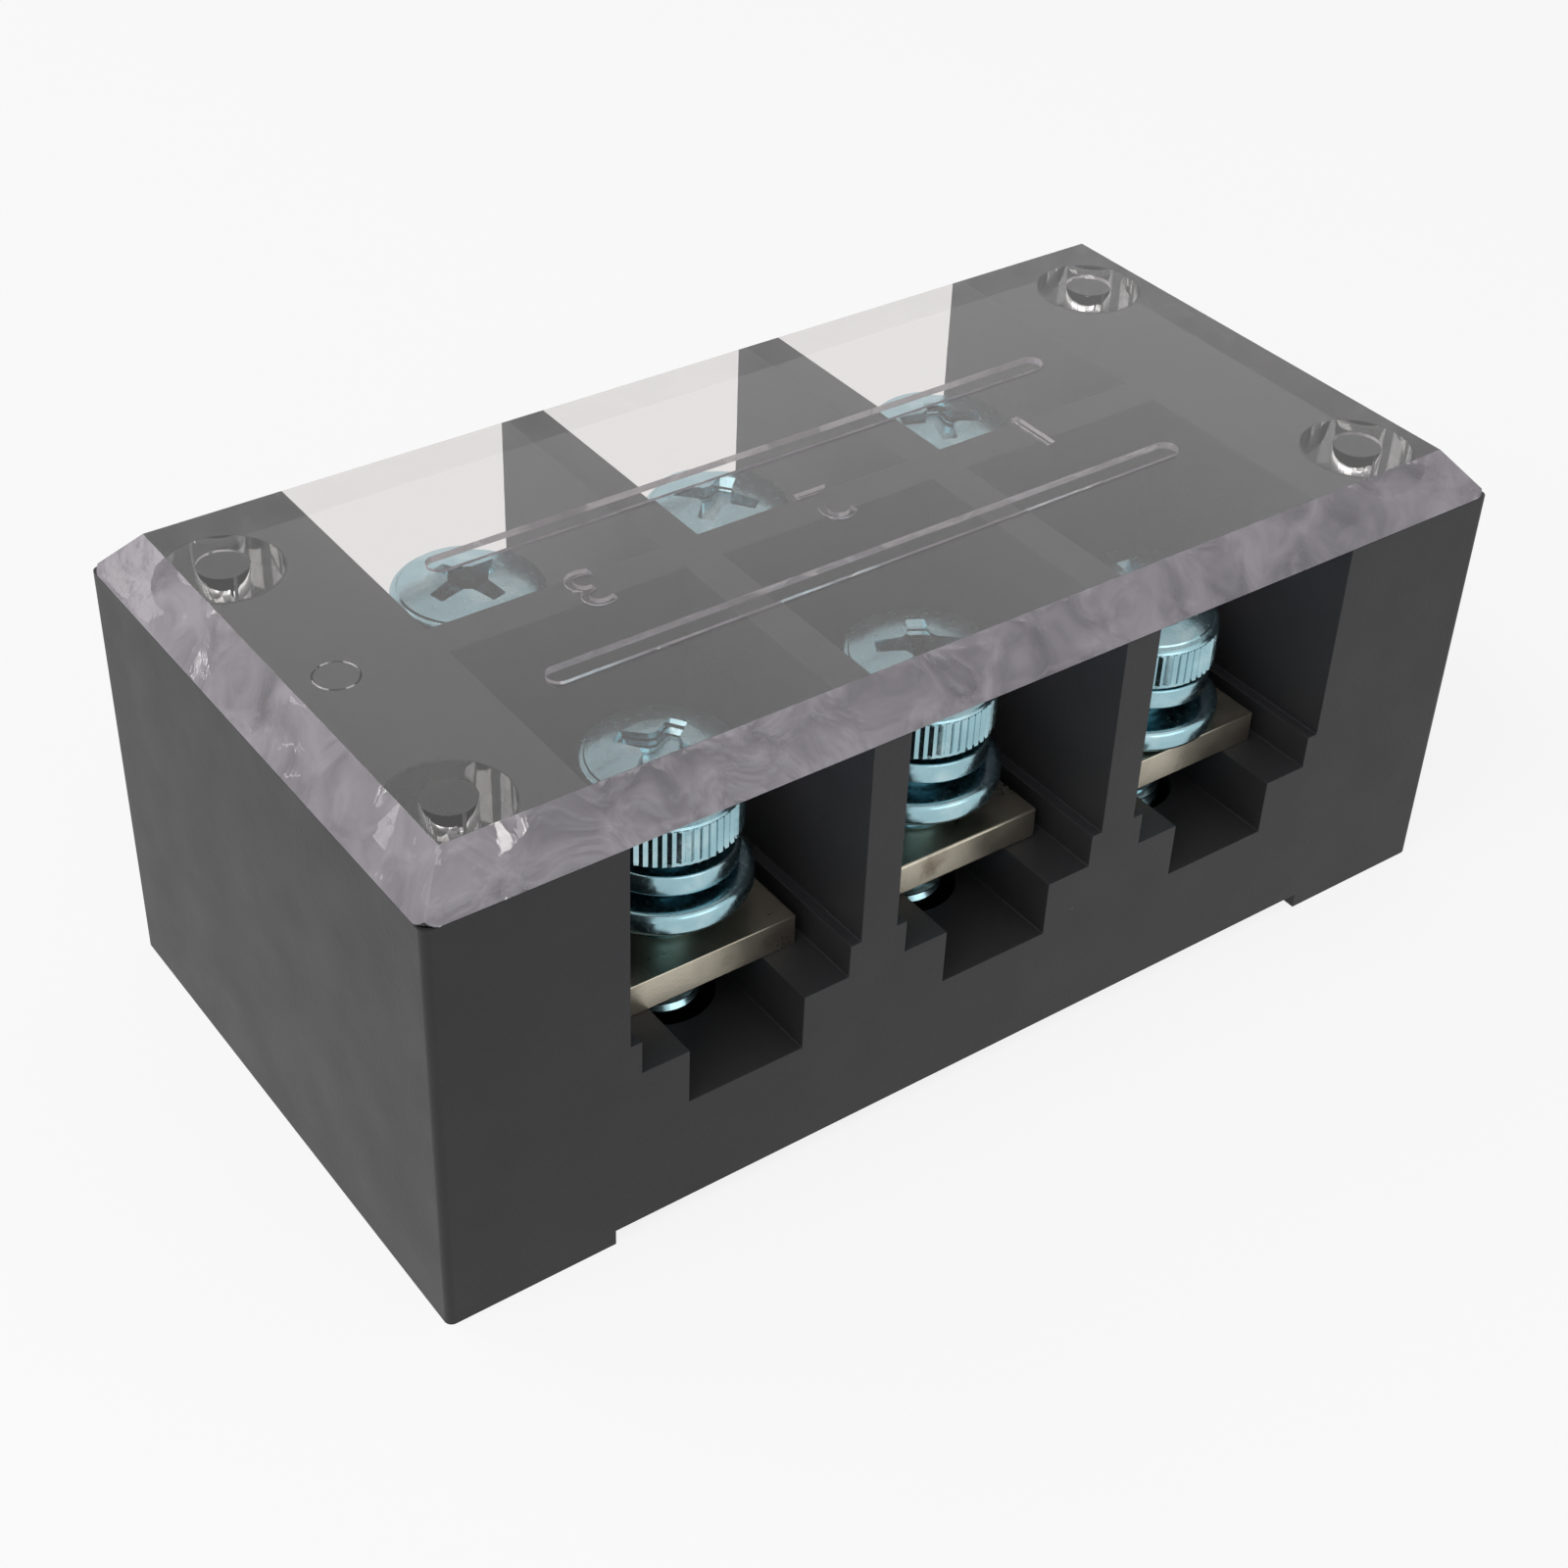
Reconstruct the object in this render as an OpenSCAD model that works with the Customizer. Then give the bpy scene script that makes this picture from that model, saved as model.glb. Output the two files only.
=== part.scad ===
// Barrier terminal block, three poles, double row, with a clear lift-off cover.
// Origin: centre of the footprint, on the surface the block stands on.
// X runs along the row of poles, -Y is the front row, +Y the rear row, +Z is up.

/* [Base] */
// Distance between neighbouring poles
pole_pitch = 22; // [20:0.5:28]
// Solid end block beyond the outer barrier line, at each end
end_block = 13; // [12.5:0.5:20]
// Front to rear size of the block
block_depth = 47; // [45:0.5:60]
// Height of the moulded base, without the cover
base_height = 34.7; // [33.5:0.1:40]
// Radius of the base's four upright corners
base_corner_r = 0.6; // [0.3:0.1:2]
// Length of the foot at each end
foot_length = 13.3; // [10:0.1:16]
// Height of the shallow recess between the feet
foot_height = 1.3; // [0.5:0.1:2.5]

/* [Terminal pockets] */
// Thickness of the barriers between poles and of the central wall
barrier = 3.1; // [2:0.1:4]
// Width of the small step that frames the bar bed, each side
bed_step = 0.9; // [0.5:0.1:1.2]
// Width of the ledge that carries the bar, each side
ledge = 3.8; // [2.5:0.1:4.4]
// Height of the ledge that carries the bar
ledge_z = 15.2; // [14.5:0.1:17]
// Depth of the bar bed below the pocket's own shoulders
bed_depth = 2.8; // [2:0.1:3.4]
// Height of the floor of the lower channel
channel_floor_z = 10.5; // [9.5:0.1:12]
// Radius of the round clearance pocket below each screw
tip_pocket_r = 4; // [3.6:0.1:4.4]

/* [Busbars] */
// Width of the bar
bar_width = 15; // [13.5:0.1:16]
// Thickness of the bar
bar_thickness = 2.6; // [2:0.1:3]
// Distance of the bar's ends behind the front and rear faces
bar_inset = 5; // [3:0.1:6]
// Play between a bar and its slot in the central wall
slot_play = 0.1; // [0.05:0.05:0.3]

/* [Screws and washers] */
// Distance of the screw axes behind the front and rear faces
screw_inset = 10.8; // [9.8:0.1:12.5]
// Shank diameter
screw_d = 6; // [5:0.1:6.5]
// Length of the shank below the head
screw_length = 16; // [14:0.5:17]
// Diameter of the knurled head
head_d = 11.5; // [10:0.1:13]
// Height of the head at its centre
head_height = 4.4; // [3.6:0.1:5.2]
// Height of the crown above the head's knurled side
crown_height = 0.7; // [0.4:0.1:1.2]
// Play between the shank and the holes it passes, on the radius
shank_play = 0.05; // [0.03:0.01:0.1]
// Depth of the cross recess
recess_depth = 2.6; // [1.5:0.1:2.8]
// Span of the cross recess over its wings
recess_span = 7; // [5:0.1:8]
// Width of a wing of the cross recess
recess_wing = 1.3; // [0.8:0.1:1.8]
// Flat washer diameter
flat_washer_d = 13; // [12:0.1:15]
// Flat washer thickness
flat_washer_t = 1.9; // [1:0.1:2.2]
// Spring washer diameter
spring_washer_d = 11; // [9.5:0.1:11.5]
// Spring washer wire height
spring_washer_t = 1.7; // [1.2:0.1:2]
// Free height of the open spring washer
spring_washer_free = 3.4; // [2.8:0.1:4]
// Height of front screw 1 above its tight position
lift_f1 = 2.8; // [0:0.1:4]
// Height of front screw 2 above its tight position
lift_f2 = 2.7; // [0:0.1:4]
// Height of front screw 3 above its tight position
lift_f3 = 0.2; // [0:0.1:4]
// Height of rear screw 1 above its tight position
lift_r1 = 2; // [0:0.1:4]
// Height of rear screw 2 above its tight position
lift_r2 = 1.7; // [0:0.1:4]
// Height of rear screw 3 above its tight position
lift_r3 = 1.9; // [0:0.1:4]

/* [Cover] */
// Height of the cover above the base
cover_height = 3.4; // [3:0.1:5]
// Width of the sloping flank along all four sides
cover_slope = 3; // [1.5:0.1:4]
// Radius of the cover's upright corners
cover_corner_r = 1.4; // [0.8:0.1:2.5]
// Width of the two grooves in the cover's underside
groove_width = 1.9; // [1:0.1:3]
// Depth of the grooves
groove_depth = 0.6; // [0.3:0.1:1]
// Length of the grooves
groove_length = 55.6; // [40:0.1:60]
// Distance between the two grooves, centre to centre
groove_spacing = 15.8; // [8:0.1:24]
// How far the corner plugs reach into the base
plug_reach = 5; // [2:0.1:10]
// Play between a plug and its counterbore, on the radius
plug_play = 0.15; // [0.1:0.05:0.4]
// Diameter of the blind hollow in each plug
plug_hollow_d = 3.8; // [2.5:0.1:5]
// How far the hollow rises above the cover's underside
plug_hollow_rise = 0.9; // [0:0.1:1.5]

/* [Mounting holes] */
// Distance between the mounting holes along the row
mount_spacing_x = 79; // [78:0.5:80]
// Distance between the mounting holes across the block
mount_spacing_y = 31; // [28:0.5:33]
// Mounting hole diameter
mount_hole_d = 4.5; // [3.5:0.1:5.5]
// Counterbore diameter
counterbore_d = 8.8; // [8:0.1:9.2]
// Height of the counterbore's floor
counterbore_floor_z = 8; // [5:0.5:20]

/* [Hidden] */
$fn = 72;
eps = 0.5;
poles = 3;
// Room between a screw's tip and the floor of its clearance pocket
tip_clearance = 1.6;
// Radius of the head's edge between knurled side and crown
head_edge_r = 0.5;
// Chamfer at the screw's tip, on the radius and along the axis
tip_chamfer = [0.8, 1];
// Side of the square core that rounds out the cross recess
recess_core = 3.2;
// Play between a spring washer and the shank, on the radius
spring_washer_play = 0.2;
// Angle left open where a spring washer is split
split_angle = 10;
// Turn of the spring washers from pole to pole, as they happened to be fitted
washer_turn = 70;
// Turn of the screws from pole to pole and from row to row, as they were left
screw_turn = [25, -10];
pole_offset = [-pole_pitch, 0, pole_pitch];
block_length = poles * pole_pitch + 2 * end_block;
pocket_half = (pole_pitch - barrier) / 2;
bed_half = pocket_half - bed_step;
channel_half = bed_half - ledge;
shoulder_z = ledge_z + bed_depth;
bar_length = block_depth - 2 * bar_inset;
bar_top_z = ledge_z + bar_thickness;
screw_y = block_depth / 2 - screw_inset;
bore_r = screw_d / 2 + shank_play;
stack_height = flat_washer_t + spring_washer_free;
tight_tip_z = bar_top_z + stack_height - screw_length;
tip_pocket_floor_z = tight_tip_z - tip_clearance;
cover_top_z = base_height + cover_height;
plug_r = counterbore_d / 2 - plug_play;
lift_front = [lift_f1, lift_f2, lift_f3];
lift_rear = [lift_r1, lift_r2, lift_r3];

body_black = [0.20, 0.20, 0.21];
clear = [0.72, 0.72, 0.76, 0.35];
tinned = [0.62, 0.59, 0.54];
zinc = [0.56, 0.67, 0.70];

// ---- shared shapes ----

// Upright block with rounded corners, centred on the origin.
module rounded_block(length, depth, height, r) {
    linear_extrude(height)
        union() {
            square([length - 2 * r, depth], center = true);
            square([length, depth - 2 * r], center = true);
            for (sx = [-1, 1], sy = [-1, 1])
                translate([sx * (length / 2 - r), sy * (depth / 2 - r)])
                    circle(r = r);
        }
}

// Places its child at all four mounting holes.
module at_mounts() {
    for (sx = [-1, 1], sy = [-1, 1])
        translate([sx * mount_spacing_x / 2, sy * mount_spacing_y / 2, 0])
            children();
}

// ---- base ----

// Cross-section of a terminal pocket: opening, bar bed with its ledges, lower channel.
module pocket_section() {
    polygon([
        [-pocket_half, base_height + eps], [-pocket_half, shoulder_z],
        [-bed_half, shoulder_z], [-bed_half, ledge_z],
        [-channel_half, ledge_z], [-channel_half, channel_floor_z],
        [channel_half, channel_floor_z], [channel_half, ledge_z],
        [bed_half, ledge_z], [bed_half, shoulder_z],
        [pocket_half, shoulder_z], [pocket_half, base_height + eps]
    ]);
}

// Front pocket of the pole at the origin, open to the front and the top.
module front_pocket() {
    translate([0, -barrier / 2, 0])
        rotate([90, 0, 0])
            linear_extrude(block_depth / 2 - barrier / 2 + eps)
                pocket_section();
    translate([0, -screw_y, tip_pocket_floor_z])
        cylinder(r = tip_pocket_r, h = channel_floor_z - tip_pocket_floor_z + eps);
}

module mounting_hole() {
    translate([0, 0, -eps])
        cylinder(d = mount_hole_d, h = base_height + 2 * eps);
    translate([0, 0, counterbore_floor_z])
        cylinder(d = counterbore_d, h = base_height);
}

module base() {
    recess_length = block_length - 2 * foot_length;
    slot_width = bar_width + 2 * slot_play;
    color(body_black)
        difference() {
            rounded_block(block_length, block_depth, base_height, base_corner_r);
            translate([-recess_length / 2, -block_depth / 2 - eps, -eps])
                cube([recess_length, block_depth + 2 * eps, foot_height + eps]);
            for (x = pole_offset)
                translate([x, 0, 0]) {
                    front_pocket();
                    mirror([0, 1, 0])
                        front_pocket();
                    translate([-slot_width / 2, -barrier, ledge_z])
                        cube([slot_width, 2 * barrier, bar_thickness + slot_play]);
                }
            at_mounts()
                mounting_hole();
        }
}

// ---- cover ----

// Solid plate with sloping flanks on all sides and rounded upright corners.
module cover_plate() {
    intersection() {
        translate([0, 0, base_height])
            rounded_block(block_length, block_depth, cover_height, cover_corner_r);
        translate([0, block_depth / 2 + eps, 0])
            rotate([90, 0, 0])
                linear_extrude(block_depth + 2 * eps)
                    flank_section(block_length / 2);
        translate([-block_length / 2 - eps, 0, 0])
            rotate([90, 0, 90])
                linear_extrude(block_length + 2 * eps)
                    flank_section(block_depth / 2);
    }
}

// Upright section through the plate: its flanks slope in from the underside to the top.
module flank_section(half) {
    polygon([
        [-half, base_height - eps], [-half, base_height],
        [-half + cover_slope, cover_top_z], [half - cover_slope, cover_top_z],
        [half, base_height], [half, base_height - eps]
    ]);
}

// Groove with round ends, cut up into the underside.
module cover_groove() {
    straight = groove_length - groove_width;
    translate([0, 0, base_height - eps])
        linear_extrude(groove_depth + eps)
            union() {
                square([straight, groove_width], center = true);
                for (sx = [-1, 1])
                    translate([sx * straight / 2, 0])
                        circle(d = groove_width);
            }
}

module cover() {
    plug_bottom_z = base_height - plug_reach;
    color(clear)
        difference() {
            union() {
                cover_plate();
                at_mounts()
                    translate([0, 0, plug_bottom_z])
                        cylinder(r = plug_r, h = plug_reach + eps);
            }
            for (sy = [-1, 1])
                translate([0, sy * groove_spacing / 2, 0])
                    cover_groove();
            at_mounts()
                translate([0, 0, plug_bottom_z - eps])
                    cylinder(d = plug_hollow_d, h = plug_reach + plug_hollow_rise + eps);
        }
}

// ---- busbars ----

module busbar() {
    color(tinned)
        difference() {
            translate([-bar_width / 2, -bar_length / 2, ledge_z])
                cube([bar_width, bar_length, bar_thickness]);
            for (sy = [-1, 1])
                translate([0, sy * screw_y, ledge_z - eps])
                    cylinder(r = bore_r, h = bar_thickness + 2 * eps);
        }
}

// ---- screw stack, standing on z = 0 ----

module flat_washer() {
    color(zinc)
        difference() {
            cylinder(d = flat_washer_d, h = flat_washer_t);
            translate([0, 0, -eps])
                cylinder(r = bore_r, h = flat_washer_t + 2 * eps);
        }
}

// Split ring of square wire, one left-hand turn that rises from the flat washer to the head.
module spring_washer() {
    steps = 40;
    inner = screw_d / 2 + spring_washer_play;
    outer = spring_washer_d / 2;
    rise = spring_washer_free - spring_washer_t;
    wire = [
        [inner, 0], [outer, 0], [outer, spring_washer_t], [inner, spring_washer_t]
    ];
    corners = len(wire);
    points = [
        for (i = [0 : steps])
            let (angle = split_angle / 2 + i * (360 - split_angle) / steps)
                for (corner = wire)
                    [corner[0] * cos(angle), corner[0] * sin(angle),
                     corner[1] + rise * (1 - i / steps)]
    ];
    last = steps * corners;
    sides = [
        for (i = [0 : steps - 1], k = [0 : corners - 1])
            let (here = i * corners, next = (k + 1) % corners)
                for (side = [
                    [here + k, here + corners + k, here + next],
                    [here + next, here + corners + k, here + corners + next]
                ])
                    side
    ];
    ends = [[0, 1, 2, 3], [last + 3, last + 2, last + 1, last]];
    color(zinc)
        polyhedron(points = points, faces = concat(ends, sides), convexity = 4);
}

// Half section of the head: knurled side, rounded shoulder and low crown.
module head_section() {
    side = head_height - crown_height;
    half = head_d / 2;
    crown_r = (half * half + crown_height * crown_height) / (2 * crown_height);
    intersection() {
        translate([0, head_height - crown_r])
            circle(r = crown_r, $fn = 180);
        square([half, head_height + eps]);
        union() {
            square([half - head_edge_r, head_height]);
            square([half, side]);
            translate([half - head_edge_r, side])
                circle(r = head_edge_r, $fn = 24);
        }
    }
}

// Cross recess with four blunt wings and a fuller core, narrowing to its floor.
module cross_recess() {
    translate([0, 0, head_height - recess_depth])
        intersection() {
            linear_extrude(recess_depth + eps)
                union() {
                    square([recess_span, recess_wing], center = true);
                    square([recess_wing, recess_span], center = true);
                    rotate(45)
                        square(recess_core, center = true);
                }
            cylinder(d1 = recess_span / 3, d2 = recess_span, h = recess_depth);
        }
}

module screw() {
    color(zinc)
        difference() {
            union() {
                rotate_extrude()
                    head_section();
                translate([0, 0, tip_chamfer[1] - screw_length])
                    cylinder(d = screw_d, h = screw_length);
                translate([0, 0, -screw_length])
                    cylinder(d1 = screw_d - 2 * tip_chamfer[0], d2 = screw_d,
                             h = tip_chamfer[1]);
            }
            cross_recess();
        }
}

// Places its child on a pole: row -1 is the front row, row 1 the rear row.
module at_terminal(pole, row, height) {
    lift = (row < 0 ? lift_front : lift_rear)[pole - 1];
    translate([pole_offset[pole - 1], row * screw_y, bar_top_z + lift + height])
        children();
}

module flat_washer_at(pole, row) {
    at_terminal(pole, row, 0)
        flat_washer();
}

module spring_washer_at(pole, row) {
    at_terminal(pole, row, flat_washer_t)
        rotate([0, 0, washer_turn * pole])
            spring_washer();
}

module screw_at(pole, row) {
    at_terminal(pole, row, stack_height)
        rotate([0, 0, screw_turn[0] * pole + screw_turn[1] * row])
            screw();
}

base();
cover();
translate([pole_offset[0], 0, 0]) busbar();  // busbar_1
translate([pole_offset[1], 0, 0]) busbar();  // busbar_2
translate([pole_offset[2], 0, 0]) busbar();  // busbar_3
flat_washer_at(1, -1);  // flat_washer_f1
flat_washer_at(2, -1);  // flat_washer_f2
flat_washer_at(3, -1);  // flat_washer_f3
flat_washer_at(1, 1);  // flat_washer_r1
flat_washer_at(2, 1);  // flat_washer_r2
flat_washer_at(3, 1);  // flat_washer_r3
spring_washer_at(1, -1);  // spring_washer_f1
spring_washer_at(2, -1);  // spring_washer_f2
spring_washer_at(3, -1);  // spring_washer_f3
spring_washer_at(1, 1);  // spring_washer_r1
spring_washer_at(2, 1);  // spring_washer_r2
spring_washer_at(3, 1);  // spring_washer_r3
screw_at(1, -1);  // screw_f1
screw_at(2, -1);  // screw_f2
screw_at(3, -1);  // screw_f3
screw_at(1, 1);  // screw_r1
screw_at(2, 1);  // screw_r2
screw_at(3, 1);  // screw_r3
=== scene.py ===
import math

import bmesh
import bpy
from bpy.props import FloatProperty, FloatVectorProperty, IntProperty, PointerProperty
from mathutils import Matrix, Vector


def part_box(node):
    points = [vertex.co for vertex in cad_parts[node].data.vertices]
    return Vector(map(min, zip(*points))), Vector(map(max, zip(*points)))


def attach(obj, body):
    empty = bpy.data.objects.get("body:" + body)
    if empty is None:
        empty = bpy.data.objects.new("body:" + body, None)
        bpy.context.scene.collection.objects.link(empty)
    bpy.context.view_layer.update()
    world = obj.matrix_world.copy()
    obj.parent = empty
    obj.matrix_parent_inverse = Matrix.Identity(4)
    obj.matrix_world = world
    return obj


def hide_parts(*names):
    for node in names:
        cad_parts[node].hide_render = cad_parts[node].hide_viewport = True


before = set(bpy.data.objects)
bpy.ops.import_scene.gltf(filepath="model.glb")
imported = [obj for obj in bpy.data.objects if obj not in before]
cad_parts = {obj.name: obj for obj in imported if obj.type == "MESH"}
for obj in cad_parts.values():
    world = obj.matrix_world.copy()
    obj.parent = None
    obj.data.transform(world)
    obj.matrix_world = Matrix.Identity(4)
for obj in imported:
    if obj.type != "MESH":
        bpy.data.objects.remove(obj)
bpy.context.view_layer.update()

bl_info = {
    "name": "Barrier Terminal Strip",
    "version": (1, 0, 0),
    "blender": (4, 5, 0),
    "location": "View3D > Sidebar > Terminal Strip",
    "description": "Builds a three-pole barrier terminal strip with its clear cover",
    "category": "Add Mesh",
}

MM = 0.001
TERMINALS = ("f1", "f2", "f3", "r1", "r2", "r3")
POLES = (1, 2, 3)


def linear(hex_colour):
    """sRGB hex such as "#3c3c3e" as linear red, green, blue."""
    channels = [int(hex_colour[i:i + 2], 16) / 255 for i in (1, 3, 5)]
    return [c / 12.92 if c <= 0.04045 else ((c + 0.055) / 1.055) ** 2.4 for c in channels]


def rgba(colour):
    return (*colour, 1.0)


def shade(colour, factor):
    return (*[min(c * factor, 1.0) for c in colour], 1.0)


# ---- settings that a user would change ----


class TerminalStripSizes(bpy.types.PropertyGroup):
    moulded_edge: FloatProperty(
        name="Moulded edge", description="Width of the rounded edges of the moulded base",
        default=0.22 * MM, min=0.05 * MM, max=0.4 * MM, unit="LENGTH", precision=5)
    cover_edge: FloatProperty(
        name="Cover edge", description="Width of the rounded edges of the clear cover",
        default=0.35 * MM, min=0.1 * MM, max=0.6 * MM, unit="LENGTH", precision=5)
    bar_edge: FloatProperty(
        name="Bar edge", description="Width of the deburred edges of the bars",
        default=0.18 * MM, min=0.05 * MM, max=0.3 * MM, unit="LENGTH", precision=5)
    washer_edge: FloatProperty(
        name="Washer edge", description="Radius of the tumbled edges of the flat washers",
        default=0.55 * MM, min=0.1 * MM, max=0.8 * MM, unit="LENGTH", precision=5)
    wire_edge: FloatProperty(
        name="Split washer edge", description="Radius of the corners of the split washers' wire",
        default=0.22 * MM, min=0.05 * MM, max=0.4 * MM, unit="LENGTH", precision=5)
    thread_pitch: FloatProperty(
        name="Thread pitch", description="Pitch of the terminal screws' thread",
        default=1.0 * MM, min=0.5 * MM, max=1.25 * MM, unit="LENGTH", precision=5)
    thread_depth: FloatProperty(
        name="Thread depth", description="Depth of the thread, on the radius",
        default=0.5 * MM, min=0.3 * MM, max=0.61 * MM, unit="LENGTH", precision=5)
    knurl_count: IntProperty(
        name="Flutes", description="Number of upright flutes round a screw's head",
        default=56, min=24, max=90)
    knurl_depth: FloatProperty(
        name="Flute depth", description="Depth of the flutes round a screw's head",
        default=0.16 * MM, min=0.05 * MM, max=0.3 * MM, unit="LENGTH", precision=5)
    digit_height: FloatProperty(
        name="Number height", description="Height of the pole numbers in the cover",
        default=4.6 * MM, min=3 * MM, max=6 * MM, unit="LENGTH", precision=5)


class TerminalStripColours(bpy.types.PropertyGroup):
    moulding: FloatVectorProperty(
        name="Moulding", description="Dark thermoset of the base",
        default=linear("#2e2e30"), size=3, min=0, max=1, subtype="COLOR")
    cover: FloatVectorProperty(
        name="Cover", description="Clear polycarbonate, a trace of violet",
        default=linear("#e6e3e2"), size=3, min=0, max=1, subtype="COLOR")
    bar: FloatVectorProperty(
        name="Bar", description="Dull nickel plate on the bars",
        default=linear("#c6bfae"), size=3, min=0, max=1, subtype="COLOR")
    zinc: FloatVectorProperty(
        name="Zinc", description="Blue-white zinc plate of screws and washers",
        default=linear("#9cc0c9"), size=3, min=0, max=1, subtype="COLOR")
    floor: FloatVectorProperty(
        name="Floor", description="Pale studio floor",
        default=linear("#f4f4f4"), size=3, min=0, max=1, subtype="COLOR")


def sizes():
    return bpy.context.scene.terminal_strip_sizes


def colours():
    return bpy.context.scene.terminal_strip_colours


# ---- materials ----


def add(tree, kind, values=None, links=None, **settings):
    """A node with its settings, socket values and the sockets that feed it."""
    node = tree.nodes.new(kind)
    for name, value in settings.items():
        setattr(node, name, value)
    for socket, value in (values or {}).items():
        node.inputs[socket].default_value = value
    for socket, source in (links or {}).items():
        tree.links.new(source, node.inputs[socket])
    return node


def new_material(name):
    """An empty node material with its output and Object coordinates."""
    material = bpy.data.materials.new(name)
    material.use_nodes = True
    tree = material.node_tree
    tree.nodes.clear()
    output = add(tree, "ShaderNodeOutputMaterial")
    place = add(tree, "ShaderNodeTexCoord").outputs["Object"]
    return material, tree, output, place


def noise(tree, place, millimetres, detail=3.0, roughness=0.5, distortion=0.0):
    """Noise whose blotches are about this many millimetres apart."""
    return add(tree, "ShaderNodeTexNoise",
               {"Scale": 1000 / millimetres, "Detail": detail, "Roughness": roughness,
                "Distortion": distortion}, {"Vector": place}).outputs["Fac"]


def ramp(tree, source, stops):
    """Colour ramp with (position, colour) stops."""
    node = add(tree, "ShaderNodeValToRGB", links={"Fac": source})
    elements = node.color_ramp.elements
    while len(elements) < len(stops):
        elements.new(0.5)
    for element, (position, colour) in zip(elements, stops):
        element.position = position
        element.color = colour
    return node.outputs["Color"]


def spread(tree, source, low, high, start=0.0, end=1.0):
    """Maps a noise value to a range of roughness or factor."""
    return add(tree, "ShaderNodeMapRange",
               {"From Min": start, "From Max": end, "To Min": low, "To Max": high},
               {"Value": source}).outputs["Result"]


def bump(tree, height, millimetres, strength=1.0, normal=None):
    """Bump of this real depth."""
    links = {"Height": height}
    if normal:
        links["Normal"] = normal
    return add(tree, "ShaderNodeBump", {"Strength": strength, "Distance": millimetres * MM},
               links).outputs["Normal"]


def moulded_thermoset():
    """Phenolic moulding, dark grey, satin from a spark-eroded mould.

    The eye gets a soft sheen with a fine grain, faint flow clouds and a few pale specks
    of filler."""
    material, tree, output, place = new_material("phenolic moulding, dark satin")
    colour = colours().moulding
    clouds = noise(tree, place, 18, detail=4)
    grain = noise(tree, place, 0.35, detail=4, roughness=0.6)
    base = ramp(tree, clouds, [(0.3, shade(colour, 0.95)), (0.7, shade(colour, 1.05))])
    specks = add(tree, "ShaderNodeTexVoronoi", {"Scale": 1000 / 9.0, "Randomness": 1.0},
                 {"Vector": place}).outputs["Distance"]
    # Filler specks 0.3 mm across, about one in each 9 mm.
    speck = ramp(tree, specks, [(0.0, (1, 1, 1, 1)), (0.018, (0, 0, 0, 1))])
    mixed = add(tree, "ShaderNodeMix", {7: rgba(linear("#7a766c"))},
                {0: add(tree, "ShaderNodeMath", {1: 0.55}, {0: speck},
                        operation="MULTIPLY").outputs[0], 6: base}, data_type="RGBA")
    shader = add(tree, "ShaderNodeBsdfPrincipled", {"IOR": 1.55, "Specular IOR Level": 0.25},
                 {"Base Color": mixed.outputs[2],
                  "Roughness": spread(tree, noise(tree, place, 5, detail=3), 0.44, 0.50, 0.3, 0.7),
                  # Grain of 0.35 mm stands for a finer one that would not show.
                  "Normal": bump(tree, grain, 0.018)})
    tree.links.new(shader.outputs[0], output.inputs["Surface"])
    return material


def clear_polycarbonate():
    """Injection-moulded clear polycarbonate, polished mould.

    The eye gets a bright, slightly wavy plate that bends what lies below it; the flanks'
    lilac-grey light is painted on by the flank material. Light passes it for shadows as through glass."""
    material, tree, output, place = new_material("polycarbonate, clear polished")
    # Sink and flow waves about 7 mm and 2 mm long, a few hundredths of a millimetre deep.
    waves = noise(tree, place, 7, detail=2, distortion=0.6)
    ripples = noise(tree, place, 1.6, detail=2)
    normal = bump(tree, ripples, 0.0008, normal=bump(tree, waves, 0.006))
    shader = add(tree, "ShaderNodeBsdfPrincipled",
                 {"Base Color": rgba(colours().cover), "IOR": 1.58,
                  "Transmission Weight": 1.0},
                 {"Roughness": spread(tree, noise(tree, place, 11, detail=3), 0.0, 0.03, 0.35, 0.7),
                  "Normal": normal})
    passing = add(tree, "ShaderNodeBsdfTransparent", {"Color": rgba(linear("#e6e4ea"))})
    shadow_ray = add(tree, "ShaderNodeLightPath").outputs["Is Shadow Ray"]
    mix = add(tree, "ShaderNodeMixShader",
              links={0: shadow_ray, 1: shader.outputs[0], 2: passing.outputs[0]})
    tree.links.new(mix.outputs[0], output.inputs["Surface"])
    return material


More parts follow.
